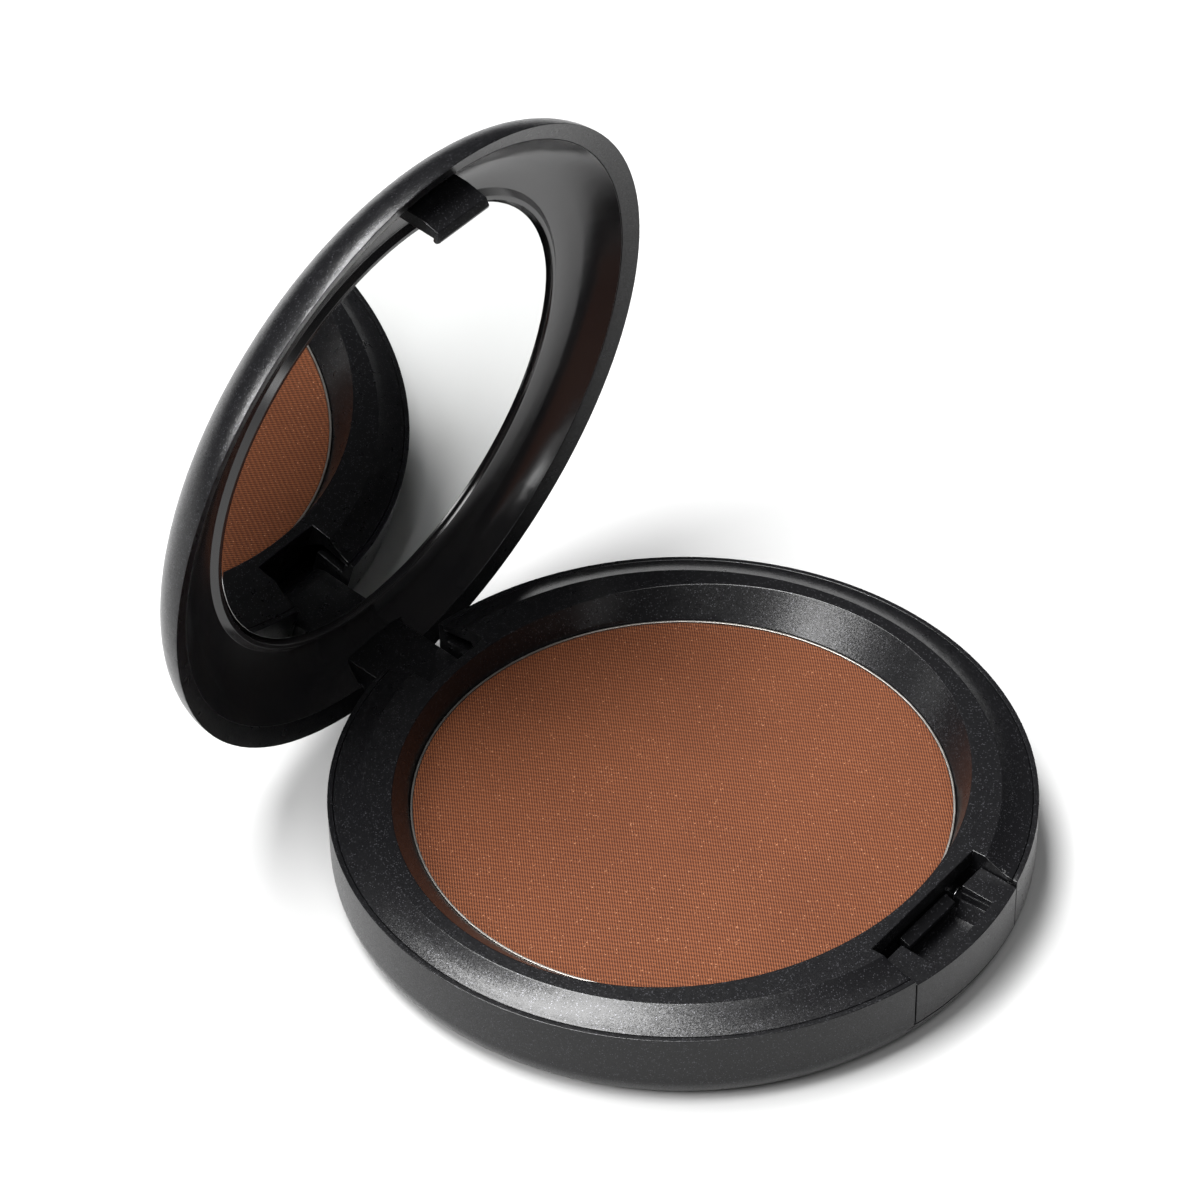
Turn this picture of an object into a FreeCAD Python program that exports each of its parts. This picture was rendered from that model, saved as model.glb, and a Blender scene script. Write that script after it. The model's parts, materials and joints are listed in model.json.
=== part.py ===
"""Round powder compact with a hinged mirror lid and a push-button catch, in millimetres.

The origin is the centre of the underside, +Z is up, the hinge is at +Y and the button at -Y.
The lid is built closed and then turned back on its hinge to its open stop, which is the rest pose.
"""
import FreeCAD, Part
import math
import os

V = FreeCAD.Vector
ABOUT_X, ABOUT_Z = V(1, 0, 0), V(0, 0, 1)

# Overall sizes
base_radius = 38.0          # outside radius of base and lid
base_height = 9.2           # underside to the rim where the lid closes
lid_height = 10.2           # rim to the crown of the lid
corner_radius = 3.4         # round under the side of the base
dome_side = 0.71            # share of the height up to which the dome's side pulls
dome_shoulder = 14.8        # side to where its crown pulls
wall = 1.2                  # both outer shells
rim_gap = 0.05              # between the closed rims
slide_gap = 0.15            # round the button
seat_gap = 0.05             # between pieces that drop into each other
sink = 0.2                  # how far a rib or post is carried into what it grows from

# Ring and powder well
rim_land = 0.6              # shell's own edge, left showing round the ring
ledge_depth = 0.6           # shoulder in the shell that carries the ring
ledge_gap = 0.02
ring_rise = 1.33            # flat top of the ring above the rim
ring_slope = 3.94           # outside radius to the ring's flat top
slope_sag = 0.2             # hollow of that slope
well_side, well_front = 3.3, 0.8     # oval mouth of the well beyond the pan, in X and in Y
well_drop = 1.96            # rim down to the edge of the pan
tray_floor = 1.0
tray_wall = 1.6
tray_web = 0.95             # plain wall of the tray below the edge of the pan
ring_lip = 1.1              # width of the ring's flat foot on the ledge

# Powder pan
pan_margin = 8.8            # pan in from the outside radius
pan_height = 4.0
pan_sheet = 0.25
cake_drop = 0.15            # powder below the edge of its pan
cake_round = 0.2
adhesive = 0.2
adhesive_margin = 1.5       # film in from the edge of what it holds

# Hinge
hinge_setback = 2.9         # axis in from the outside radius
hinge_drop = 5.6            # axis below the rim
open_angle = 81.0
lug_half_width = 4.3
lug_radius = 2.1
lug_side_gap = 0.3
lug_swing_gap = 0.25
stop_gap = 0.03             # lug above its stop at the open end
pin_radius = 0.75
pin_running_gap = 0.04
pin_chamfer = 0.15
cheek_width = 3.4
cheek_margin = 0.3          # cheek inward of the lug
cheek_rise = 1.4            # and above it
notch_margin = 1.85         # notch in the ring, inward of the lug

# Latch: pocket, button and catch
pocket_half_width = 9.1
pocket_depth = 6.75         # in from the outside radius
pocket_recess = 0.8         # room behind the button, below the ring's edge
pocket_lip = 1.83           # height of that edge
button_height = 6.4         # rim down to the seam under the button
button_travel = 0.8
button_wall = 1.4
block_width = 3.45
block_clear = 1.2           # block end to the pocket's inner wall
button_top_drop = 0.3       # inner end of the blocks below the rim
button_top_fall = 0.4       # and their outer end below the inner one
step_rise, step_width = 0.9, 0.15
skirt_spread = 0.9          # foot of the blocks' sloped inner faces beyond the second step
button_well_depth = 3.8     # rim down to the floor between the blocks
button_floor = 1.0
guide_plate = 1.2
wing_reach, wing_length = 0.6, 0.75
wing_root = 0.5
wing_rise, wing_drop = 0.7, 2.2      # wing above the seam and below the rim
bar_half_width = 4.1
bar_clear = 0.1             # bar and the recess wall with the button pushed in
bar_length, bar_web = 1.25, 0.7      # catch bar with its nose, and the web under it
bar_nose_top, bar_nose_low, bar_top = 1.5, 1.95, 0.95   # below the rim
rail_half_width = 0.8
rail_front, rail_back = 2.6, 0.6     # rail ends in from the outside and from the recess

# Button springs
spring_rise = 2.4           # axis above the seam
spring_radius = 0.85
spring_wire = 0.15
spring_turns = 6
spring_bore = 1.15
spring_bore_depth = 3.3
hood_wall = 0.4             # button's cover over its springs

# Lid
rim_band = 2.2              # flat band round the lid's mouth
rim_band_rise = 0.75
snap_ledge = 1.6            # top of the band's shoulder above the rim
snap_reach, snap_height = 0.45, 0.4  # bead of the frame behind that shoulder
frame_sheet = 1.0
frame_mid_margin, frame_mid_depth = 4.8, 2.9   # middle of the dish from the outside and the rim
frame_inner_depth = 4.15    # bottom of the dish
bezel_width = 0.5           # flat top of the raised edge round the mirror
bezel_slope, bezel_rise = 0.7, 0.6   # its outer side
mirror_recess = 0.5         # glass below the raised edge
frame_back_sheet = 0.8      # behind the mirror
mirror_margin = 11.25       # mirror in from the outside radius
mirror_glass = 1.0
mirror_gap = 0.4
mirror_bevel = 0.12
mirror_tape = 0.15

# Hook
hook_half_width = 3.9
hook_gap = 0.08             # hook and catch bar
hook_overlap = 0.53         # barb under the bar
hook_thickness = 1.5
hook_reach = 3.0            # tip below the lid's rim
hook_side_room, hook_room = 1.3, 1.0 # window in the frame beside and behind the hook
window_edge = 0.3           # frame left at the window's outer side

# Label
label_margin = 14.5         # in from the outside radius
label_gap = 0.4
label_sheet = 0.15

# Posts that locate the ring on the base shell
post_count, post_margin, post_radius = 4, 4.4, 0.9
post_drop = 1.6             # top of a post below the rim
post_end_gap = 0.1
sleeve_wall, sleeve_length = 0.8, 3.0
rib_inset, rib_sheet = 3.0, 1.0      # ring rib under the tray

rim_z = base_height
floor_z = wall
hinge_y = base_radius - hinge_setback
hinge_z = rim_z - hinge_drop
hinge_point = V(0, hinge_y, hinge_z)
ring_top_z = rim_z + ring_rise
ring_flat_radius = base_radius - ring_slope
ledge_z = rim_z - ledge_depth + ledge_gap
pan_radius = base_radius - pan_margin
well_x, well_y = pan_radius + well_side, pan_radius + well_front
pan_top_z = rim_z - well_drop
pan_floor_z = pan_top_z - pan_height
tray_top_z = pan_floor_z - adhesive
tray_low_z = tray_top_z - tray_floor
bore_radius = pan_radius + 2 * seat_gap
tray_outer = bore_radius + tray_wall
ring_outer = base_radius - rim_land - seat_gap
pocket_y = -(base_radius - pocket_depth)
recess_y = pocket_y + pocket_recess
button_low_z = rim_z - button_height
well_floor_z = rim_z - button_well_depth
block_end_y = pocket_y - block_clear
button_half_width = pocket_half_width - slide_gap
bar_back_y = recess_y - button_travel - bar_clear
bar_front_y = bar_back_y - bar_length
wing_low_z, wing_high_z = button_low_z + wing_rise, rim_z - wing_drop
spring_x = button_half_width - block_width / 2
spring_z = button_low_z + spring_rise
notch_y = hinge_y - lug_radius - notch_margin
lug_room = lug_half_width + lug_side_gap
label_radius = base_radius - label_margin
mirror_radius = base_radius - mirror_margin
bezel_depth = frame_inner_depth - bezel_rise
mirror_depth = bezel_depth + mirror_recess
mirror_bore = mirror_radius + mirror_gap
post_top_z = rim_z - post_drop
post_angles = [math.radians(45 + 360 / post_count * i) for i in range(post_count)]
post_circle = base_radius - post_margin
post_points = [(post_circle * math.cos(a), post_circle * math.sin(a)) for a in post_angles]
lid_z = rim_z + rim_gap
far = 3 * base_radius       # safely outside the compact


def box(x0, x1, y0, y1, z0, z1):
    return Part.makeBox(x1 - x0, y1 - y0, z1 - z0, V(x0, y0, z0))


def disc(radius, z0, z1, x=0.0, y=0.0):
    return Part.makeCylinder(radius, z1 - z0, V(x, y, z0))


def bar_along_x(radius, x0, x1, y, z):
    return Part.makeCylinder(radius, x1 - x0, V(x0, y, z), ABOUT_X)


def prism_along_x(outline, x0, x1):
    """Straight-sided outline of (y, z) points, pushed from x0 to x1."""
    points = [V(x0, y, z) for y, z in outline]
    face = Part.Face(Part.makePolygon(points + points[:1]))
    return face.extrude(V(x1 - x0, 0, 0))


def prism_along_y(outline, y0, y1):
    """Straight-sided outline of (x, z) points, pushed from y0 to y1."""
    points = [V(x, y0, z) for x, z in outline]
    face = Part.Face(Part.makePolygon(points + points[:1]))
    return face.extrude(V(0, y1 - y0, 0))


def turned(edges):
    """Solid turned about Z from a closed outline of edges in the XZ plane."""
    wire = Part.Wire(Part.__sortEdges__(edges))
    return Part.makeSolid(Part.Face(wire).revolve(V(0, 0, 0), ABOUT_Z, 360))


def straight(points):
    """Edges through (radius, z) points."""
    ends = [V(r, 0, z) for r, z in points]
    return [Part.makeLine(a, b) for a, b in zip(ends, ends[1:])]


def arc(start, middle, end):
    a, b, c = (V(r, 0, z) for r, z in (start, middle, end))
    return Part.Arc(a, b, c).toShape()


def both_sides(shape):
    return shape.fuse(shape.mirror(V(0, 0, 0), ABOUT_X))


def base_body(inset):
    """Outside form of the base, or its inside when it is inset by the wall."""
    r, corner = base_radius - inset, max(corner_radius - inset, 0.5)
    diagonal = corner * math.sqrt(0.5)
    middle = (r - corner + diagonal, inset + corner - diagonal)
    outline = straight([(0, base_height), (0, inset), (r - corner, inset)])
    outline += [arc((r - corner, inset), middle, (r, inset + corner))]
    return turned(outline + straight([(r, inset + corner), (r, base_height), (0, base_height)]))


def dome(inset):
    """Dome over the lid's rim, or its inside when it is inset by the wall."""
    r, h = base_radius - inset, lid_height - inset
    curve = Part.BezierCurve()
    poles = [(r, 0), (r, dome_side * h), (r - dome_shoulder, h), (0, h)]
    curve.setPoles([V(x, 0, lid_z + z) for x, z in poles])
    return turned([curve.toShape()] + straight([(0, lid_z + h), (0, lid_z), (r, lid_z)]))


def stop_line(y, gap):
    """Height of the lug's outer face at y when the lid is fully open, less a gap."""
    lean = math.radians(90 - open_angle)
    return hinge_z - lug_radius / math.cos(lean) + (y - hinge_y) * math.tan(lean) - gap


def make_base_shell():
    shell = base_body(0).cut(base_body(wall).cut(disc(far, base_height, far)))
    shell = shell.cut(disc(base_radius - rim_land, rim_z - ledge_depth, far))
    shell = shell.cut(disc(label_radius + label_gap, -1, label_sheet))

    # rib under the tray, posts for the ring and rails for the button
    rib = disc(tray_outer - rib_inset, floor_z - sink, tray_low_z - seat_gap)
    shell = shell.fuse(rib.cut(disc(tray_outer - rib_inset - rib_sheet, 0, far)))
    for x, y in post_points:
        shell = shell.fuse(disc(post_radius, floor_z - sink, post_top_z, x, y))
    rail = box(spring_x - rail_half_width, spring_x + rail_half_width, rail_front - base_radius,
               recess_y - rail_back, floor_z - sink, button_low_z + slide_gap - seat_gap)
    shell = shell.fuse(both_sides(rail).common(base_body(wall / 2)))

    # cheeks that hold the ends of the hinge pin
    cheek = box(lug_room, lug_room + cheek_width, hinge_y - lug_radius - cheek_margin, base_radius,
                floor_z - sink, hinge_z + lug_radius + cheek_rise)
    shell = shell.fuse(both_sides(cheek).common(base_body(wall / 2)))
    pin_end = lug_room + cheek_width
    shell = shell.cut(bar_along_x(pin_radius, -pin_end, pin_end, hinge_y, hinge_z))

    # notch for the lid's lug, with the stop it rests on when it is open
    back = base_radius + wall
    opening = [(hinge_y, stop_line(hinge_y, stop_gap)), (back, stop_line(back, stop_gap)),
               (back, far), (hinge_y, far)]
    swing = bar_along_x(lug_radius + lug_swing_gap, -lug_room, lug_room, hinge_y, hinge_z)
    shell = shell.cut(prism_along_x(opening, -lug_room, lug_room).fuse(swing))

    # opening for the button
    gate = box(-pocket_half_width, pocket_half_width, -far, pocket_y, button_low_z, far)
    return shell.cut(gate)


def make_base_tray():
    """Ring, powder well and tray floor in one moulding."""
    slope_out = (ring_outer, rim_z)
    slope_in = (ring_flat_radius, ring_top_z)
    run, rise = slope_out[0] - slope_in[0], slope_in[1] - slope_out[1]
    length = math.hypot(run, rise)
    sagged = ((slope_out[0] + slope_in[0]) / 2 - slope_sag * rise / length,
              (slope_out[1] + slope_in[1]) / 2 - slope_sag * run / length)
    web_z, web_top_z = pan_top_z - tray_web, ledge_z + sink
    outline = straight([slope_in, (0, ring_top_z), (0, tray_low_z), (tray_outer, tray_low_z),
                        (tray_outer, web_z), (tray_outer + web_top_z - web_z, web_top_z),
                        (ring_outer - ring_lip, ledge_z), (ring_outer, ledge_z), slope_out])
    tray = turned(outline + [arc(slope_out, sagged, slope_in)])

    # flat inner wall and side plates of the latch pocket
    inside = base_body(wall + seat_gap)
    plate_high = ledge_z + sink
    side = pocket_half_width + guide_plate
    tray = tray.fuse(box(-side, side, recess_y, recess_y + 2 * guide_plate, tray_low_z, plate_high))
    plate = box(pocket_half_width, side, -base_radius, recess_y, tray_low_z, plate_high)
    slot = box(pocket_half_width - 1, side + 1, block_end_y - wing_length - seat_gap,
               block_end_y + button_travel + seat_gap, wing_low_z - slide_gap, wing_high_z + slide_gap)
    tray = tray.fuse(both_sides(plate.cut(slot)).common(inside))

    # well: oval at the top, round at the pan
    mouth = Part.Wire(Part.Ellipse(V(0, 0, ring_top_z), well_x, well_y).toShape())
    throat = Part.Wire(Part.makeCircle(bore_radius, V(0, 0, pan_top_z)))
    tray = tray.cut(Part.makeLoft([throat, mouth], True, True))
    tray = tray.cut(disc(bore_radius, tray_top_z, pan_top_z))

    half = pocket_half_width
    tray = tray.cut(box(-half, half, -far, pocket_y, 0, far))
    tray = tray.cut(box(-half, half, pocket_y - 1, recess_y, 0, ring_top_z - pocket_lip))
    tray = tray.cut(box(-lug_room, lug_room, notch_y, far, 0, far))

    # sleeves that drop over the base shell's posts
    for x, y in post_points:
        sleeve = disc(post_radius + sleeve_wall, post_top_z - sleeve_length, plate_high, x, y)
        tray = tray.fuse(sleeve).cut(disc(post_radius + seat_gap, 0, post_top_z + post_end_gap, x, y))
    return tray


def make_powder_pan():
    cup = disc(pan_radius, pan_floor_z, pan_top_z)
    return cup.cut(disc(pan_radius - pan_sheet, pan_floor_z + pan_sheet, far))


def make_powder_cake():
    cake = disc(pan_radius - pan_sheet, pan_floor_z + pan_sheet, pan_top_z - cake_drop)
    top = [e for e in cake.Edges if abs(e.BoundBox.ZMin - cake.BoundBox.ZMax) < 1e-6]
    return cake.makeFillet(cake_round, top)


def make_latch_button():
    half, low = button_half_width, button_low_z + slide_gap
    front = base_body(0).cut(disc(base_radius - button_wall, 0, far))
    front = front.common(box(-half, half, -far, 0, low, far))

    block = box(half - block_width, half, -base_radius, block_end_y, low, rim_z)
    for step in (1, 2):
        grow, top = step_width * step, rim_z - button_top_drop - step_rise * step
        block = block.fuse(box(half - block_width - grow, half, -base_radius, block_end_y, low, top))
    hood = box(half - block_width, half, block_end_y, bar_back_y, low, spring_z + spring_bore + hood_wall)
    edge, step_z = half - block_width - 2 * step_width, rim_z - button_top_drop - 2 * step_rise
    foot = prism_along_y([(edge, step_z), (edge - skirt_spread, well_floor_z), (edge, well_floor_z)],
                         -base_radius, block_end_y)
    block = block.fuse(foot)
    wing = box(half - wing_root, half + wing_reach, block_end_y - wing_length, block_end_y,
               wing_low_z, wing_high_z)
    floor = box(-half, half, -base_radius, bar_back_y, well_floor_z - button_floor, well_floor_z)
    floor = floor.cut(both_sides(box(half - block_width, far, block_end_y, 0, 0, far)))
    web_y, root_z, nose_z = bar_back_y - bar_web, well_floor_z - sink, rim_z - bar_nose_low
    outline = [(bar_back_y, root_z), (bar_back_y, rim_z - bar_top), (bar_front_y, rim_z - bar_nose_top),
               (bar_front_y, nose_z), (web_y, nose_z), (web_y, root_z)]
    bar = prism_along_x(outline, -bar_half_width, bar_half_width)
    inside = both_sides(block).fuse(floor).common(base_body(button_wall / 2))
    button = front.fuse([inside, bar, both_sides(wing.fuse(hood))])

    # the top slopes down from the blocks' inner ends to the outer edge
    top = rim_z - button_top_drop
    above = prism_along_x([(0, top), (0, far), (-far, far), (-base_radius, top - button_top_fall),
                           (block_end_y, top)], -far, far)
    button = button.cut(above)
    for side in (-1, 1):
        mouth = V(side * spring_x, bar_back_y, spring_z)
        button = button.cut(Part.makeCylinder(spring_bore, spring_bore_depth, mouth, V(0, -1, 0)))
    return button


def make_button_spring(side):
    """Coil spring between the pocket's inner wall and the bottom of its bore in the button."""
    length = recess_y - (bar_back_y - spring_bore_depth)
    run = length - 2 * spring_wire
    helix = Part.makeHelix(run / spring_turns, run, spring_radius)
    section = Part.Wire(Part.makeCircle(spring_wire, V(spring_radius, 0, 0), V(0, 1, 0)))
    coil = Part.Wire(helix).makePipeShell([section], True, True)
    coil = coil.rotated(V(0, 0, 0), ABOUT_X, 90)
    return coil.translated(V(side * spring_x, recess_y - spring_wire, spring_z))


def make_hinge_pin():
    half = lug_room + cheek_width
    pin = bar_along_x(pin_radius, -half, half, hinge_y, hinge_z)
    rims = [e for e in pin.Edges if isinstance(e.Curve, Part.Circle)]
    return pin.makeChamfer(pin_chamfer, rims)


def make_lid_shell():
    band = base_radius - rim_band
    shell = dome(0).cut(dome(wall))
    collar = disc(base_radius - wall / 2, lid_z, lid_z + snap_ledge).cut(disc(band, 0, far))
    shell = shell.fuse(collar)
    below = lid_z - 1
    band_z = lid_z + rim_band_rise
    shell = shell.cut(turned(straight([(0, below), (base_radius, below), (base_radius, lid_z),
                                       (band, band_z), (0, band_z), (0, below)])))

    # hinge lug, grown down from the lid's back
    half, back, front = lug_half_width, hinge_y + lug_radius, hinge_y - lug_radius
    upper = box(-half, half, front, back, lid_z, far).common(dome(wall / 2))
    lower = box(-half, half, front, back, hinge_z, lid_z)
    barrel = bar_along_x(lug_radius, -half, half, hinge_y, hinge_z)
    shell = shell.fuse([upper, lower, barrel, make_hook()])
    return shell.cut(bar_along_x(pin_radius + pin_running_gap, -half, half, hinge_y, hinge_z))


def make_hook():
    """Tongue with a rounded barb that snaps under the button's catch bar."""
    inner_y = bar_front_y - hook_gap
    outer_y = inner_y - hook_thickness
    barb_y = inner_y + hook_overlap
    barb_z = rim_z - bar_nose_low - rim_gap
    tip_z = lid_z - hook_reach
    crown = lid_z + lid_height
    points = [(outer_y, crown), (outer_y, lid_z), (outer_y + 0.5, tip_z + 0.5),
              (inner_y - 0.2, tip_z), (inner_y + 0.15, tip_z + 0.1), (barb_y - 0.05, tip_z + 0.45),
              (barb_y, barb_z - 0.25), (barb_y - 0.12, barb_z), (inner_y, barb_z), (inner_y, crown)]
    hook = prism_along_x(points, -hook_half_width, hook_half_width)
    return hook.common(dome(wall / 2).fuse(box(-far, far, -far, 0, 0, lid_z)))


def make_lid_frame():
    """Dished bezel that snaps into the lid shell and carries the mirror."""
    outer = base_radius - rim_band - seat_gap
    ridge = (outer, lid_z + rim_band_rise)
    middle = (base_radius - frame_mid_margin, lid_z + frame_mid_depth)
    bezel, bezel_z = mirror_bore + bezel_width, lid_z + bezel_depth
    inner = (bezel + bezel_slope, lid_z + frame_inner_depth)
    bed_z = lid_z + mirror_depth + mirror_glass + mirror_tape
    back_z = bed_z + frame_back_sheet
    shown = [inner, (bezel, bezel_z), (mirror_bore, bezel_z), (mirror_bore, bed_z), (0, bed_z), (0, back_z)]
    ledge = lid_z + snap_ledge + seat_gap
    bead = outer + snap_reach
    skirt = [(inner[0], back_z), (middle[0], middle[1] + frame_sheet),
             (bead, ledge + snap_height), (bead, ledge), (outer, ledge), ridge]
    frame = turned([arc(ridge, middle, inner)] + straight(shown + skirt))

    # windows for the hook and for the hinge lug
    half = hook_half_width + hook_side_room
    edge_y, room_y = window_edge - outer, bar_front_y - hook_gap + hook_room
    frame = frame.cut(box(-half, half, edge_y, room_y, 0, far))
    return frame.cut(box(-lug_room, lug_room, hinge_y - lug_radius - lug_side_gap, far, 0, far))


def make_mirror():
    low = lid_z + mirror_depth
    mirror = disc(mirror_radius, low, low + mirror_glass)
    edge = [e for e in mirror.Edges if abs(e.BoundBox.ZMax - low) < 1e-6]
    return mirror.makeChamfer(mirror_bevel, edge)


def make_mirror_tape():
    low = lid_z + mirror_depth + mirror_glass
    return disc(mirror_radius - adhesive_margin, low, low + mirror_tape)


def opened(shape):
    return shape.rotated(hinge_point, ABOUT_X, -open_angle)


fixed_nodes = {
    "base_shell": make_base_shell(),
    "base_tray": make_base_tray(),
    "powder_pan": make_powder_pan(),
    "powder_cake": make_powder_cake(),
    "pan_adhesive": disc(pan_radius - adhesive_margin, tray_top_z, pan_floor_z),
    "base_label": disc(label_radius, 0, label_sheet),
    "hinge_pin": make_hinge_pin(),
    "latch_button": make_latch_button(),
    "button_spring_left": make_button_spring(-1),
    "button_spring_right": make_button_spring(1),
}
lid_nodes = {
    "lid_shell": make_lid_shell(),
    "lid_frame": make_lid_frame(),
    "mirror": make_mirror(),
    "mirror_tape": make_mirror_tape(),
}

os.makedirs("parts", exist_ok=True)
nodes = dict(fixed_nodes, **{name: opened(shape) for name, shape in lid_nodes.items()})
for name, shape in nodes.items():
    solids = shape.Solids
    print(f"{name}: {len(solids)} solid(s), {shape.Volume:.1f} mm3, valid {shape.isValid()}")
    piece = solids[0] if len(solids) == 1 else shape
    piece.exportStep(f"parts/{name}.step")
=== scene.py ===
import json
import math

import bmesh
import bpy
from mathutils import Matrix, Vector


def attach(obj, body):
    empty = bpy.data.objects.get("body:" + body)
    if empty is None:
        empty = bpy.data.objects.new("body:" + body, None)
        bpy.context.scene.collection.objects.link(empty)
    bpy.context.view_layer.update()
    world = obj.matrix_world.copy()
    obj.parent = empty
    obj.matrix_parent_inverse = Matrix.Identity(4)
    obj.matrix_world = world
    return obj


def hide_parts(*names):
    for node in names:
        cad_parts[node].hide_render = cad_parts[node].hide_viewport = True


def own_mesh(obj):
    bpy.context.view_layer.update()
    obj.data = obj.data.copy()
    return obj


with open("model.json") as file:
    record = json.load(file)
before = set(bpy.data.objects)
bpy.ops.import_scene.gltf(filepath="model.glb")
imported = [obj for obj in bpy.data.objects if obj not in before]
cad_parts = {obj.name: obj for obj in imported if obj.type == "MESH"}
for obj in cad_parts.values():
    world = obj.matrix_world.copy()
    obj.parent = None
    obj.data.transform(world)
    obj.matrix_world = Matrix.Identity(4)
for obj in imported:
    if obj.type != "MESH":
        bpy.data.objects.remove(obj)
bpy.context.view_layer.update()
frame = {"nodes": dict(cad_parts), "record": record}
nodes = frame["nodes"]
collection = bpy.context.scene.collection
mm = 0.001
weldDistance = 0.001 * mm


# shading helpers
def newMaterial(name):
    material = bpy.data.materials.new(name)
    material.use_nodes = True
    tree = material.node_tree
    shader = tree.nodes["Principled BSDF"]
    return material, tree, shader


def addNode(tree, kind, **values):
    node = tree.nodes.new(kind)
    for key, value in values.items():
        if hasattr(node, key):
            setattr(node, key, value)
        else:
            node.inputs[key].default_value = value
    return node


def mathNode(tree, operation, a, b=None, c=None):
    node = tree.nodes.new("ShaderNodeMath")
    node.operation = operation
    for socket, value in zip(node.inputs, (a, b, c)):
        if value is None:
            continue
        if isinstance(value, (int, float)):
            socket.default_value = value
        else:
            tree.links.new(value, socket)
    return node.outputs[0]


def vectorNode(tree, operation, a, b=None, scale=None):
    node = tree.nodes.new("ShaderNodeVectorMath")
    node.operation = operation
    for socket, value in zip(node.inputs, (a, b)):
        if value is None:
            continue
        if isinstance(value, (tuple, list)):
            socket.default_value = value
        else:
            tree.links.new(value, socket)
    if scale is not None:
        tree.links.new(scale, node.inputs["Scale"])
    return node.outputs["Value"] if operation == "DOT_PRODUCT" else node.outputs[0]


def ramp(tree, value, stops):
    node = tree.nodes.new("ShaderNodeValToRGB")
    tree.links.new(value, node.inputs[0])
    elements = node.color_ramp.elements
    while len(elements) < len(stops):
        elements.new(0.5)
    for element, (place, colour) in zip(elements, stops):
        element.position = place
        element.color = (*colour, 1)
    return node.outputs[0]


def startGroup(name, inputs, outputs):
    group = bpy.data.node_groups.new(name, "ShaderNodeTree")
    for label, kind in inputs:
        group.interface.new_socket(label, in_out="INPUT", socket_type=kind)
    for label, kind in outputs:
        group.interface.new_socket(label, in_out="OUTPUT", socket_type=kind)
    return group, group.nodes.new("NodeGroupInput"), group.nodes.new("NodeGroupOutput")


def placeGroup(tree, group, **values):
    node = tree.nodes.new("ShaderNodeGroup")
    node.node_tree = group
    for key, value in values.items():
        node.inputs[key].default_value = value
    return node


# pearl flakes: tiny cells, each tilted its own way, a few of them bright
pearlCloud = {"scale": 900.0, "detail": 3.0}


def makePearlGroup():
    group, source, target = startGroup(
        "pearlFlakes",
        [("flakeSize", "NodeSocketFloat"), ("tilt", "NodeSocketFloat"),
         ("brightShare", "NodeSocketFloat")],
        [("flakeMask", "NodeSocketFloat"), ("flakeNormal", "NodeSocketVector"),
         ("cloud", "NodeSocketFloat")])
    place = addNode(group, "ShaderNodeTexCoord").outputs["Object"]
    cells = addNode(group, "ShaderNodeTexVoronoi", feature="F1")
    group.links.new(place, cells.inputs["Vector"])
    group.links.new(mathNode(group, "DIVIDE", 1.0, source.outputs["flakeSize"]), cells.inputs["Scale"])
    centred = vectorNode(group, "SUBTRACT", cells.outputs["Color"], (0.5, 0.5, 0.5))
    lean = vectorNode(group, "SCALE", centred, scale=source.outputs["tilt"])
    surface = addNode(group, "ShaderNodeNewGeometry").outputs["Normal"]
    normal = vectorNode(group, "NORMALIZE", vectorNode(group, "ADD", surface, lean))
    split = addNode(group, "ShaderNodeSeparateColor")
    group.links.new(cells.outputs["Color"], split.inputs[0])
    limit = mathNode(group, "SUBTRACT", 1.0, source.outputs["brightShare"])
    mask = mathNode(group, "GREATER_THAN", split.outputs[2], limit)
    noise = addNode(group, "ShaderNodeTexNoise", Scale=pearlCloud["scale"], Detail=pearlCloud["detail"])
    group.links.new(place, noise.inputs["Vector"])
    group.links.new(mask, target.inputs["flakeMask"])
    group.links.new(normal, target.inputs["flakeNormal"])
    group.links.new(noise.outputs["Fac"], target.inputs["cloud"])
    return group


# handling marks and fine grain, used by the gloss plastic, the mirror, the metals and the films
wear = {"smudgeDetail": 4.0, "smudgeRoughness": 0.6, "grainScale": 4000.0, "grainDetail": 2.0}


def makeWearGroup():
    group, source, target = startGroup(
        "handlingMarks", [("size", "NodeSocketFloat")],
        [("smudge", "NodeSocketFloat"), ("grain", "NodeSocketFloat")])
    place = addNode(group, "ShaderNodeTexCoord").outputs["Object"]
    smudge = addNode(group, "ShaderNodeTexNoise", Detail=wear["smudgeDetail"],
                     Roughness=wear["smudgeRoughness"])
    group.links.new(place, smudge.inputs["Vector"])
    group.links.new(mathNode(group, "DIVIDE", 1.0, source.outputs["size"]), smudge.inputs["Scale"])
    grain = addNode(group, "ShaderNodeTexNoise", Scale=wear["grainScale"], Detail=wear["grainDetail"])
    group.links.new(place, grain.inputs["Vector"])
    group.links.new(smudge.outputs["Fac"], target.inputs["smudge"])
    group.links.new(grain.outputs["Fac"], target.inputs["grain"])
    return group


pearlGroup = makePearlGroup()
wearGroup = makeWearGroup()


def mixColour(tree, factor, dark, light):
    node = tree.nodes.new("ShaderNodeMix")
    node.data_type = "RGBA"
    tree.links.new(factor, node.inputs[0])
    for socket, value in ((node.inputs[6], dark), (node.inputs[7], light)):
        if isinstance(value, tuple):
            socket.default_value = (*value, 1)
        else:
            tree.links.new(value, socket)
    return node.outputs[2]


casePlastic = {"dark": (0.0030, 0.0030, 0.0034), "flake": (0.050, 0.050, 0.055), "flakeSize": 0.00009,
               "tilt": 0.10, "brightShare": 0.04, "roughness": (0.25, 0.32), "metal": 0.6,
               "ior": 1.5, "specular": 0.27}


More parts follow.
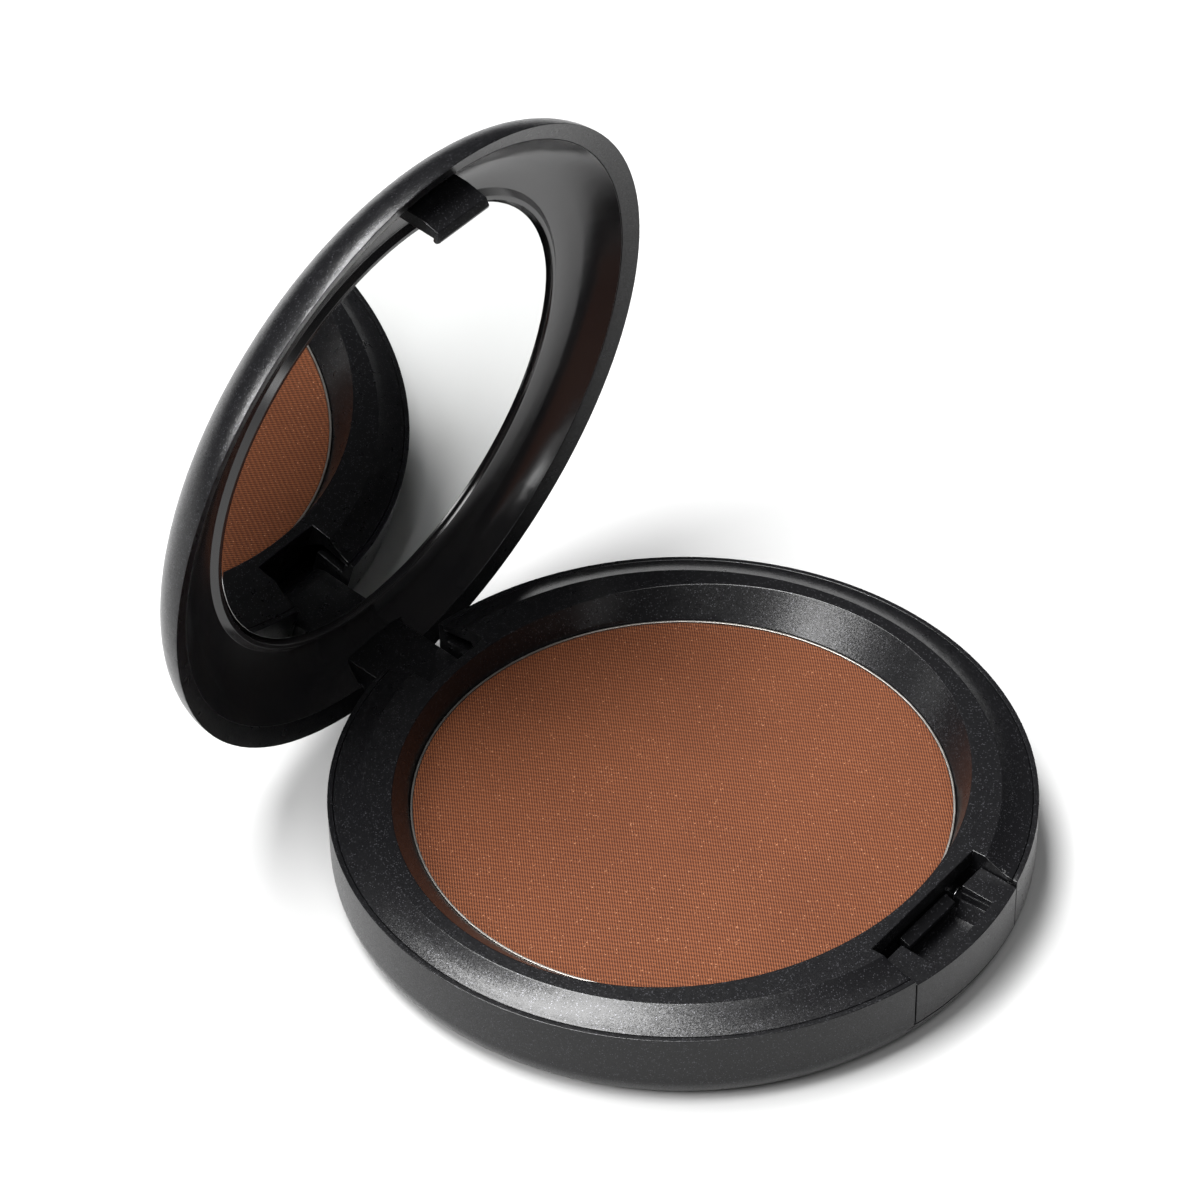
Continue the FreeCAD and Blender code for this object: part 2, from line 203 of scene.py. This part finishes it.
def makeCaseMaterial():
    material, tree, shader = newMaterial("pearlBlackPlastic")
    flakes = placeGroup(tree, pearlGroup, flakeSize=casePlastic["flakeSize"], tilt=casePlastic["tilt"],
                        brightShare=casePlastic["brightShare"])
    colour = mixColour(tree, flakes.outputs["flakeMask"], casePlastic["dark"], casePlastic["flake"])
    tree.links.new(colour, shader.inputs["Base Color"])
    low, high = casePlastic["roughness"]
    rough = mathNode(tree, "MULTIPLY_ADD", flakes.outputs["cloud"], high - low, low)
    tree.links.new(rough, shader.inputs["Roughness"])
    metal = mathNode(tree, "MULTIPLY", flakes.outputs["flakeMask"], casePlastic["metal"])
    tree.links.new(metal, shader.inputs["Metallic"])
    tree.links.new(flakes.outputs["flakeNormal"], shader.inputs["Normal"])
    shader.inputs["IOR"].default_value = casePlastic["ior"]
    shader.inputs["Specular IOR Level"].default_value = casePlastic["specular"]
    return material


glossPlastic = {"markSize": 0.006, "dark": (0.009, 0.009, 0.010), "light": (0.014, 0.013, 0.013),
                "roughness": (0.12, 0.22), "ior": 1.52}


def makeFrameMaterial():
    material, tree, shader = newMaterial("glossBlackPlastic")
    marks = placeGroup(tree, wearGroup, size=glossPlastic["markSize"])
    stops = [(0.3, glossPlastic["dark"]), (0.8, glossPlastic["light"])]
    tree.links.new(ramp(tree, marks.outputs["smudge"], stops), shader.inputs["Base Color"])
    low, high = glossPlastic["roughness"]
    tree.links.new(mathNode(tree, "MULTIPLY_ADD", marks.outputs["smudge"], high - low, low),
                   shader.inputs["Roughness"])
    shader.inputs["IOR"].default_value = glossPlastic["ior"]
    return material


mirrorLook = {"markSize": 0.012, "dark": (0.90, 0.91, 0.90), "light": (0.93, 0.94, 0.935), "haze": 0.012}


def makeMirrorMaterial():
    material, tree, shader = newMaterial("silveredGlass")
    marks = placeGroup(tree, wearGroup, size=mirrorLook["markSize"])
    stops = [(0.2, mirrorLook["dark"]), (0.8, mirrorLook["light"])]
    tree.links.new(ramp(tree, marks.outputs["smudge"], stops), shader.inputs["Base Color"])
    tree.links.new(mathNode(tree, "MULTIPLY", marks.outputs["smudge"], mirrorLook["haze"]),
                   shader.inputs["Roughness"])
    shader.inputs["Metallic"].default_value = 1.0
    return material


# cloth-pressed powder: the rows are in the mesh; their painted shade and highlight, the finer threads (bump
# plus painted shade and highlight) and the grain are here
powderLook = {"rows": (1557.0, 808.0), "threads": (2571.0, -2742.0), "rowShade": 0.06, "threadShade": 0.24,
              "pitShade": 0.34, "grainTone": 1.00, "middle": 0.5, "lift": 0.08,
              # the darkest colour is painted shade in the pits between threads, mixed with dark grain; high
              # is a painted highlight on the raised ridges, mixed with light grain
              "pitShadeAndDarkGrain": (0.017, 0.0033, 0.0006), "base": (0.0600, 0.0148, 0.0036),
              "high": (0.142, 0.048, 0.018), "fleck": (0.175, 0.075, 0.038),
              "grainScale": 6800.0, "grainDetail": 3.0, "grainRoughness": 0.7,
              "cloudScale": 90.0, "cloudDetail": 2.0, "cloudTone": 0.16,
              "fleckScale": 8000.0, "fleckLimit": 0.993, "roughness": (0.68, 0.88),
              "bump": 0.8, "depth": 0.00005, "grainHeight": 0.5, "specular": 0.2}


def makePowderMaterial():
    material, tree, shader = newMaterial("pressedPowder")
    place = addNode(tree, "ShaderNodeTexCoord").outputs["Object"]
    turn = 2 * math.pi
    rows = vectorNode(tree, "DOT_PRODUCT", place, (*powderLook["rows"], 0))
    threads = vectorNode(tree, "DOT_PRODUCT", place, (*powderLook["threads"], 0))
    rowWave = mathNode(tree, "COSINE", mathNode(tree, "MULTIPLY", rows, turn))
    threadWave = mathNode(tree, "COSINE", mathNode(tree, "MULTIPLY", threads, turn))
    gap = mathNode(tree, "MULTIPLY", mathNode(tree, "SUBTRACT", rowWave, 1.0),
                   mathNode(tree, "SUBTRACT", threadWave, 1.0))
    grain = addNode(tree, "ShaderNodeTexNoise", Scale=powderLook["grainScale"],
                    Detail=powderLook["grainDetail"], Roughness=powderLook["grainRoughness"])
    tree.links.new(place, grain.inputs["Vector"])
    broad = addNode(tree, "ShaderNodeTexNoise", Scale=powderLook["cloudScale"],
                    Detail=powderLook["cloudDetail"])
    tree.links.new(place, broad.inputs["Vector"])
    cells = addNode(tree, "ShaderNodeTexVoronoi", feature="F1", Scale=powderLook["fleckScale"])
    tree.links.new(place, cells.inputs["Vector"])
    split = addNode(tree, "ShaderNodeSeparateColor")
    tree.links.new(cells.outputs["Color"], split.inputs[0])
    # painted shade and highlight: darker in the rows' and threads' grooves, darkest in the pits where they
    # cross, lighter on the ridges; the same sum is the bump's height
    weave = mathNode(tree, "MULTIPLY_ADD", rowWave, powderLook["rowShade"], powderLook["middle"])
    weave = mathNode(tree, "MULTIPLY_ADD", threadWave, powderLook["threadShade"], weave)
    weave = mathNode(tree, "MULTIPLY_ADD", gap, -powderLook["pitShade"] / 4, weave)
    speckle = mathNode(tree, "MULTIPLY_ADD", grain.outputs["Fac"], powderLook["grainTone"],
                       powderLook["lift"] - powderLook["grainTone"] / 2)
    tone = mathNode(tree, "ADD", weave, speckle)
    tone = mathNode(tree, "MULTIPLY_ADD", broad.outputs["Fac"], powderLook["cloudTone"],
                    mathNode(tree, "SUBTRACT", tone, powderLook["cloudTone"] / 2))
    # darkest stop: painted shade in the pits; lightest stop: painted highlight on the ridges; the random
    # grain and clouds spread between them
    stops = [(0.0, powderLook["pitShadeAndDarkGrain"]), (0.5, powderLook["base"]), (1.0, powderLook["high"])]
    fleck = mathNode(tree, "GREATER_THAN", split.outputs[0], powderLook["fleckLimit"])
    colour = mixColour(tree, fleck, ramp(tree, tone, stops), powderLook["fleck"])
    tree.links.new(colour, shader.inputs["Base Color"])
    low, high = powderLook["roughness"]
    tree.links.new(mathNode(tree, "MULTIPLY_ADD", grain.outputs["Fac"], high - low, low),
                   shader.inputs["Roughness"])
    bump = addNode(tree, "ShaderNodeBump", Strength=powderLook["bump"], Distance=powderLook["depth"])
    height = mathNode(tree, "MULTIPLY_ADD", grain.outputs["Fac"], powderLook["grainHeight"], weave)
    tree.links.new(height, bump.inputs["Height"])
    tree.links.new(bump.outputs[0], shader.inputs["Normal"])
    shader.inputs["Specular IOR Level"].default_value = powderLook["specular"]
    return material


metals = {"panSheet": {"colour": (0.30, 0.285, 0.265), "roughness": (0.36, 0.5)},
          "springSteel": {"colour": (0.62, 0.62, 0.64), "roughness": (0.18, 0.3)}}
metalMarks = {"size": 0.0015, "darken": 0.85}


def makeMetalMaterial(name):
    material, tree, shader = newMaterial(name)
    marks = placeGroup(tree, wearGroup, size=metalMarks["size"])
    colour = metals[name]["colour"]
    dark = tuple(metalMarks["darken"] * value for value in colour)
    tree.links.new(ramp(tree, marks.outputs["grain"], [(0.3, dark), (0.7, colour)]),
                   shader.inputs["Base Color"])
    low, high = metals[name]["roughness"]
    tree.links.new(mathNode(tree, "MULTIPLY_ADD", marks.outputs["smudge"], high - low, low),
                   shader.inputs["Roughness"])
    shader.inputs["Metallic"].default_value = 1.0
    return material


films = {"glueFilm": {"colour": (0.70, 0.66, 0.55), "roughness": 0.5},
         "blankLabel": {"colour": (0.74, 0.74, 0.73), "roughness": 0.35}}
filmMarks = {"size": 0.003, "darken": 0.9, "roughen": 0.1}


def makeFilmMaterial(name):
    material, tree, shader = newMaterial(name)
    marks = placeGroup(tree, wearGroup, size=filmMarks["size"])
    colour = films[name]["colour"]
    dark = tuple(filmMarks["darken"] * value for value in colour)
    tree.links.new(ramp(tree, marks.outputs["smudge"], [(0.3, dark), (0.7, colour)]),
                   shader.inputs["Base Color"])
    tree.links.new(mathNode(tree, "MULTIPLY_ADD", marks.outputs["grain"], filmMarks["roughen"],
                            films[name]["roughness"]), shader.inputs["Roughness"])
    return material


powderMaterial = makePowderMaterial()
slotMaterials = {"case_plastic": makeCaseMaterial(), "frame_plastic": makeFrameMaterial(),
                 "pan_metal": makeMetalMaterial("panSheet"), "powder": powderMaterial,
                 "glue_film": makeFilmMaterial("glueFilm"), "label_film": makeFilmMaterial("blankLabel"),
                 "spring_steel": makeMetalMaterial("springSteel"), "mirror_glass": makeMirrorMaterial()}
print("materials made")

slotOf = {row["node"]: row["material_slot"] for row in frame["record"]["subparts"]}
bodies = frame["record"]["behaviour"]["bodies"]
bodyOf = {node: body for body, members in bodies.items() for node in members}

for node in nodes:
    data = nodes[node].data
    data.materials.clear()
    data.materials.append(slotMaterials[slotOf[node]])


# pieces made from their CAD form with the edges rounded off, each by its own width in mm
softPieces = {"baseShell": ("base_shell", 0.08), "baseTray": ("base_tray", 0.08),
              "latchButton": ("latch_button", 0.06), "lidShell": ("lid_shell", 0.08),
              "lidFrame": ("lid_frame", 0.05), "powderPan": ("powder_pan", 0.05),
              "mirrorGlass": ("mirror", 0.04)}
softening = {"mergeWithin": 0.002 * mm, "flatAngle": 0.02, "sharpAngle": 28.0, "segments": 2,
             "normalWeight": 50}


def soften(name, node, width):
    piece = bpy.data.objects.new(name, nodes[node].data.copy())
    collection.objects.link(piece)
    mesh = bmesh.new()
    mesh.from_mesh(piece.data)
    bmesh.ops.remove_doubles(mesh, verts=mesh.verts, dist=softening["mergeWithin"])
    bmesh.ops.dissolve_limit(mesh, angle_limit=math.radians(softening["flatAngle"]), verts=mesh.verts,
                             edges=mesh.edges)
    sharp = math.radians(softening["sharpAngle"])
    edges = [edge for edge in mesh.edges if len(edge.link_faces) == 2 and edge.calc_face_angle(0) > sharp]
    bmesh.ops.bevel(mesh, geom=edges, offset=width, offset_type="OFFSET", profile=0.5, affect="EDGES",
                    segments=softening["segments"], clamp_overlap=False, miter_outer="SHARP")
    for face in mesh.faces:
        face.smooth = True
    mesh.to_mesh(piece.data)
    mesh.free()
    weighted = piece.modifiers.new("evenNormals", "WEIGHTED_NORMAL")
    weighted.keep_sharp = True
    weighted.weight = softening["normalWeight"]
    piece.data.materials.clear()
    piece.data.materials.append(slotMaterials[slotOf[node]])
    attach(piece, bodyOf[node])
    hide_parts(node)
    print(name, len(piece.data.polygons), "faces")


for name, (node, width) in softPieces.items():
    soften(name, node, width * mm)


# button springs: fixed against the pocket's wall, each a smooth-shaded copy of its CAD form riding with its
# body
springs = {"buttonSpringLeft": "button_spring_left", "buttonSpringRight": "button_spring_right"}


def makeSpring(name, node):
    spring = bpy.data.objects.new(name, nodes[node].data.copy())
    collection.objects.link(spring)
    mesh = bmesh.new()
    mesh.from_mesh(spring.data)
    bmesh.ops.remove_doubles(mesh, verts=mesh.verts, dist=weldDistance)
    for face in mesh.faces:
        face.smooth = True
    mesh.to_mesh(spring.data)
    mesh.free()
    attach(spring, bodyOf[node])
    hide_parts(node)
    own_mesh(spring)
    print(name, len(spring.data.polygons), "faces")


for name, node in springs.items():
    makeSpring(name, node)


# powder: a disc whose pressed face carries straight rows, made by Geometry Nodes; a rim step is how
# much of the edge it goes out and how much of it down, and the last one goes down to the pan
rowX, rowY = powderLook["rows"]
pressing = {"rowSpacing": 0.57 * mm, "rowDepth": 0.020 * mm, "rowAngle": math.atan2(rowY, rowX),
            "edge": 0.10 * mm, "across": 510, "along": 48, "fade": 40.0,
            "rimSteps": ((0.7, 0.3), (1.0, 1.0), (1.0, None))}


def wireNode(tree, kind, settings, links):
    node = addNode(tree, kind, **settings)
    for key, socket in links.items():
        tree.links.new(socket, node.inputs[key])
    return node


def makePressingTree():
    tree = bpy.data.node_groups.new("pressedRows", "GeometryNodeTree")
    tree.interface.new_socket("Geometry", in_out="INPUT", socket_type="NodeSocketGeometry")
    for label in ("radius", "rowSpacing", "rowDepth", "rowAngle"):
        tree.interface.new_socket(label, in_out="INPUT", socket_type="NodeSocketFloat")
    tree.interface.new_socket("Geometry", in_out="OUTPUT", socket_type="NodeSocketGeometry")
    source = tree.nodes.new("NodeGroupInput")
    target = tree.nodes.new("NodeGroupOutput")
    counts = {"Vertices X": pressing["along"], "Vertices Y": pressing["across"]}
    grid = wireNode(tree, "GeometryNodeMeshGrid", {"Size X": 2.0, "Size Y": 2.0, **counts}, {})
    position = tree.nodes.new("GeometryNodeInputPosition").outputs[0]
    place = wireNode(tree, "ShaderNodeSeparateXYZ", {}, {0: position})
    across = place.outputs["Y"]
    square = mathNode(tree, "MULTIPLY", across, across)
    chord = mathNode(tree, "SQRT", mathNode(tree, "SUBTRACT", 1.0, square))
    chord.node.use_clamp = True
    side = mathNode(tree, "MULTIPLY", place.outputs["X"], chord)
    reach = mathNode(tree, "MULTIPLY_ADD", side, side, square)
    fade = mathNode(tree, "MULTIPLY", mathNode(tree, "SUBTRACT", 1.0, reach), pressing["fade"])
    fade.node.use_clamp = True
    radius = source.outputs["radius"]
    v = mathNode(tree, "MULTIPLY", across, radius)
    turns = mathNode(tree, "DIVIDE", v, source.outputs["rowSpacing"])
    angle = mathNode(tree, "MULTIPLY", turns, 2 * math.pi)
    wave = mathNode(tree, "SUBTRACT", mathNode(tree, "COSINE", angle), 1.0)
    half = mathNode(tree, "MULTIPLY", source.outputs["rowDepth"], 0.5)
    u = mathNode(tree, "MULTIPLY", side, radius)
    z = mathNode(tree, "MULTIPLY", mathNode(tree, "MULTIPLY", wave, half), fade)
    point = wireNode(tree, "ShaderNodeCombineXYZ", {}, {0: u, 1: v, 2: z})
    shaped = wireNode(tree, "GeometryNodeSetPosition", {},
                      {"Geometry": grid.outputs["Mesh"], "Position": point.outputs[0]})
    heading = mathNode(tree, "SUBTRACT", source.outputs["rowAngle"], math.pi / 2)
    spin = wireNode(tree, "ShaderNodeCombineXYZ", {}, {2: heading})
    turned = wireNode(tree, "GeometryNodeTransform", {},
                      {"Geometry": shaped.outputs[0], "Rotation": spin.outputs[0]})
    real = wireNode(tree, "GeometryNodeRealizeInstances", {}, {0: turned.outputs[0]})
    painted = wireNode(tree, "GeometryNodeSetMaterial", {"Material": powderMaterial}, {0: real.outputs[0]})
    tree.links.new(painted.outputs[0], target.inputs[0])
    return tree


def makePowderCake():
    points = [vertex.co for vertex in nodes["powder_cake"].data.vertices]
    radius = max(math.hypot(point.x, point.y) for point in points)
    low, high = min(point.z for point in points), max(point.z for point in points)
    maker = bpy.data.objects.new("pressMaker", bpy.data.meshes.new("pressMaker"))
    collection.objects.link(maker)
    tree = makePressingTree()
    modifier = maker.modifiers.new("rows", "NODES")
    modifier.node_group = tree
    sizes = {"radius": radius - pressing["edge"], "rowSpacing": pressing["rowSpacing"],
             "rowDepth": pressing["rowDepth"], "rowAngle": pressing["rowAngle"]}
    for item in tree.interface.items_tree:
        if item.in_out == "INPUT" and item.name in sizes:
            modifier[item.identifier] = sizes[item.name]
    view = bpy.context.evaluated_depsgraph_get()
    data = bpy.data.meshes.new_from_object(maker.evaluated_get(view))
    maker.modifiers.remove(modifier)
    bpy.data.objects.remove(maker)
    mesh = bmesh.new()
    mesh.from_mesh(data)
    bmesh.ops.remove_doubles(mesh, verts=mesh.verts, dist=weldDistance)
    bmesh.ops.translate(mesh, verts=mesh.verts, vec=(0, 0, high))
    for reach, drop in pressing["rimSteps"]:
        rim = [edge for edge in mesh.edges if edge.is_boundary]
        grown = bmesh.ops.extrude_edge_only(mesh, edges=rim)["geom"]
        for vertex in (item for item in grown if isinstance(item, bmesh.types.BMVert)):
            spoke = Vector((vertex.co.x, vertex.co.y, 0)).normalized()
            wide = radius - pressing["edge"] * (1 - reach)
            level = low if drop is None else high - pressing["edge"] * drop
            vertex.co = spoke * wide + Vector((0, 0, level))
    bmesh.ops.contextual_create(mesh, geom=[edge for edge in mesh.edges if edge.is_boundary])
    bmesh.ops.recalc_face_normals(mesh, faces=mesh.faces)
    for face in mesh.faces:
        face.smooth = len(face.verts) < 5
    mesh.to_mesh(data)
    mesh.free()
    data.materials.clear()
    data.materials.append(powderMaterial)
    cake = bpy.data.objects.new("powderCake", data)
    collection.objects.link(cake)
    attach(cake, bodyOf["powder_cake"])
    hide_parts("powder_cake")
    print("powderCake", len(data.polygons), "faces")


makePowderCake()


# camera: angles in degrees, distances in mm
lens = {"focal": 135.25, "azimuth": -51.02, "elevation": 40.45, "roll": -1.32, "distance": 481.82,
        "right": -8.36, "up": 19.92, "height": 9.2, "sensor": 36.0, "clipStart": 10.0}


def makeCamera():
    azimuth, elevation, roll = (math.radians(lens[key]) for key in ("azimuth", "elevation", "roll"))
    level = math.cos(elevation)
    back = Vector((math.sin(azimuth) * level, -math.cos(azimuth) * level, math.sin(elevation)))
    right = Vector((math.cos(azimuth), math.sin(azimuth), 0))
    up = back.cross(right)
    place = back * lens["distance"] + right * lens["right"] + up * lens["up"]
    place = place * mm + Vector((0, 0, lens["height"] * mm))
    x = right * math.cos(roll) + up * math.sin(roll)
    y = up * math.cos(roll) - right * math.sin(roll)
    camera = bpy.data.objects.new("studioCamera", bpy.data.cameras.new("studioCamera"))
    collection.objects.link(camera)
    turn = Matrix((x, y, back)).transposed().to_4x4()
    camera.matrix_world = Matrix.Translation(place) @ turn
    camera.data.sensor_width = lens["sensor"]
    camera.data.lens = lens["focal"]
    camera.data.clip_start = lens["clipStart"] * mm
    bpy.context.scene.camera = camera


makeCamera()


# floor and lights
floorLook = {"reach": 3.0, "drop": 0.2 * mm, "colour": (0.34, 0.34, 0.34), "roughness": 0.9, "specular": 0.1}


def makeFloor():
    mesh = bmesh.new()
    bmesh.ops.create_grid(mesh, x_segments=1, y_segments=1, size=floorLook["reach"])
    data = bpy.data.meshes.new("studioFloor")
    mesh.to_mesh(data)
    mesh.free()
    floor = bpy.data.objects.new("studioFloor", data)
    collection.objects.link(floor)
    material, tree, shader = newMaterial("paperWhite")
    shader.inputs["Base Color"].default_value = (*floorLook["colour"], 1)
    shader.inputs["Roughness"].default_value = floorLook["roughness"]
    shader.inputs["Specular IOR Level"].default_value = floorLook["specular"]
    data.materials.append(material)
    floor.location.z = -floorLook["drop"]


makeFloor()

lamps = {
    "overhead": {"place": (-0.12, 0.17, 0.80), "aim": (0, 0, 0), "size": (0.76, 0.30), "watts": 24.0},
    "left": {"place": (-0.70, 0.31, 0.56), "aim": (0, 0, 0), "size": (0.38, 0.30), "watts": 12.0},
    "fill": {"place": (-0.45, -0.50, 0.95), "aim": (0, 0, 0), "size": (0.40, 0.40), "watts": 6.0},
    "frontLow": {"place": (-0.30, -0.88, 0.02), "aim": (0, 0, 0.04), "size": (0.16, 0.16), "watts": 0.5},
}
skyStrength = 0.02
for name, lamp in lamps.items():
    data = bpy.data.lights.new(name, "AREA")
    data.shape = "RECTANGLE"
    data.size, data.size_y = lamp["size"]
    data.energy = lamp["watts"]
    light = bpy.data.objects.new(name, data)
    collection.objects.link(light)
    light.location = lamp["place"]
    aim = Vector(lamp["aim"]) - Vector(lamp["place"])
    light.rotation_euler = aim.to_track_quat("-Z", "Y").to_euler()

world = bpy.data.worlds.new("studio")
world.use_nodes = True
sky = world.node_tree.nodes["Background"]
sky.inputs["Color"].default_value = (1, 1, 1, 1)
sky.inputs["Strength"].default_value = skyStrength
bpy.context.scene.world = world
bpy.context.scene.view_settings.view_transform = "Standard"
print("camera, floor and lights placed")
